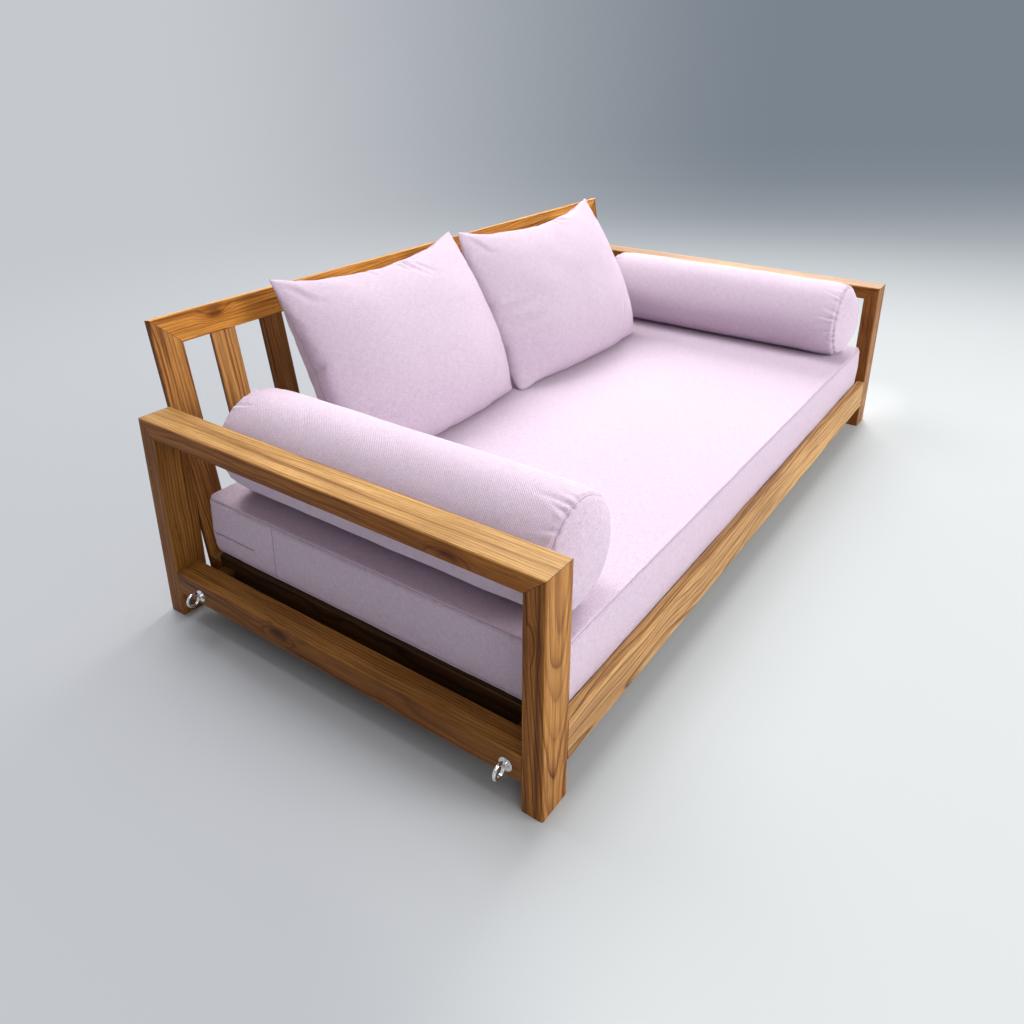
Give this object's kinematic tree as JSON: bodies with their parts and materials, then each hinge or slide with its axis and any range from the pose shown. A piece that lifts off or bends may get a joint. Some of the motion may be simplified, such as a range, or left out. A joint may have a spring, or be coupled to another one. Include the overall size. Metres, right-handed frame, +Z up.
{
  "type": "daybed",
  "caption": "Low teak daybed with open end frames, a reclined slatted back, a loose mattress, round bolsters, throw pillows and hanging eyes.",
  "frame": {"origin": "on the floor, under the middle of the whole daybed's box", "axes": "+X along the length towards the right end frame, -Y towards the open front, +Z up"},
  "size_m": [2.147, 1.0879, 0.7376],
  "materials": {
    "teak": "satin",
    "seat_timber": "satin",
    "dowel_wood": "matte",
    "bright_steel": "polished",
    "screw_steel": "satin",
    "lilac_cloth": "matte",
    "filling": "matte"
  },
  "bodies": {
    "frame": {"left_front_post": "teak", "left_rear_post": "teak", "left_arm_rail": "teak", "left_side_rail": "teak", "right_front_post": "teak", "right_rear_post": "teak", "right_arm_rail": "teak", "right_side_rail": "teak", "front_rail": "teak", "rear_rail": "seat_timber", "front_ledger": "seat_timber", "left_seat_bearer": "seat_timber", "right_seat_bearer": "seat_timber", "centre_beam": "seat_timber", "seat_slat_1": "seat_timber", "seat_slat_2": "seat_timber", "seat_slat_3": "seat_timber", "seat_slat_4": "seat_timber", "seat_slat_5": "seat_timber", "seat_slat_6": "seat_timber", "seat_slat_7": "seat_timber", "seat_slat_8": "seat_timber", "seat_slat_9": "seat_timber", "seat_slat_10": "seat_timber", "back_top_rail": "teak", "back_bottom_rail": "teak", "left_back_stile": "teak", "right_back_stile": "teak", "back_slat_1": "teak", "back_slat_2": "teak", "back_slat_3": "teak", "back_slat_4": "teak", "back_slat_5": "teak", "back_slat_6": "teak", "back_slat_7": "teak", "back_slat_8": "teak", "back_slat_9": "teak", "back_slat_10": "teak", "back_slat_11": "teak", "back_slat_12": "teak", "eye_bolts": "bright_steel", "eye_washers": "bright_steel", "eye_nuts": "bright_steel", "bearer_spacers": "seat_timber", "arm_dowels": "dowel_wood", "back_dowels": "dowel_wood", "seat_screws": "screw_steel", "frame_screws": "screw_steel", "back_screws": "screw_steel", "screw_plugs": "teak"},
    "mattress": {"mattress_cover": "lilac_cloth", "mattress_core": "filling"},
    "left_bolster": {"left_bolster_cover": "lilac_cloth", "left_bolster_core": "filling"},
    "right_bolster": {"right_bolster_cover": "lilac_cloth", "right_bolster_core": "filling"},
    "left_pillow": {"left_pillow_cover": "lilac_cloth", "left_pillow_insert": "filling"},
    "right_pillow": {"right_pillow_cover": "lilac_cloth", "right_pillow_insert": "filling"}
  },
  "joints": [
    {"name": "mattress_lift", "type": "slide", "parent": "frame", "child": "mattress", "axis": [0, 0, 1], "range_m": [0, 0.45]},
    {"name": "left_bolster_lift", "type": "slide", "parent": "mattress", "child": "left_bolster", "axis": [0, 0, 1], "range_m": [0, 0.3]},
    {"name": "right_bolster_lift", "type": "slide", "parent": "mattress", "child": "right_bolster", "axis": [0, 0, 1], "range_m": [0, 0.3]},
    {"name": "left_pillow_lift", "type": "slide", "parent": "mattress", "child": "left_pillow", "axis": [0, 0, 1], "range_m": [0, 0.4]},
    {"name": "right_pillow_lift", "type": "slide", "parent": "mattress", "child": "right_pillow", "axis": [0, 0, 1], "range_m": [0, 0.4]}
  ]
}
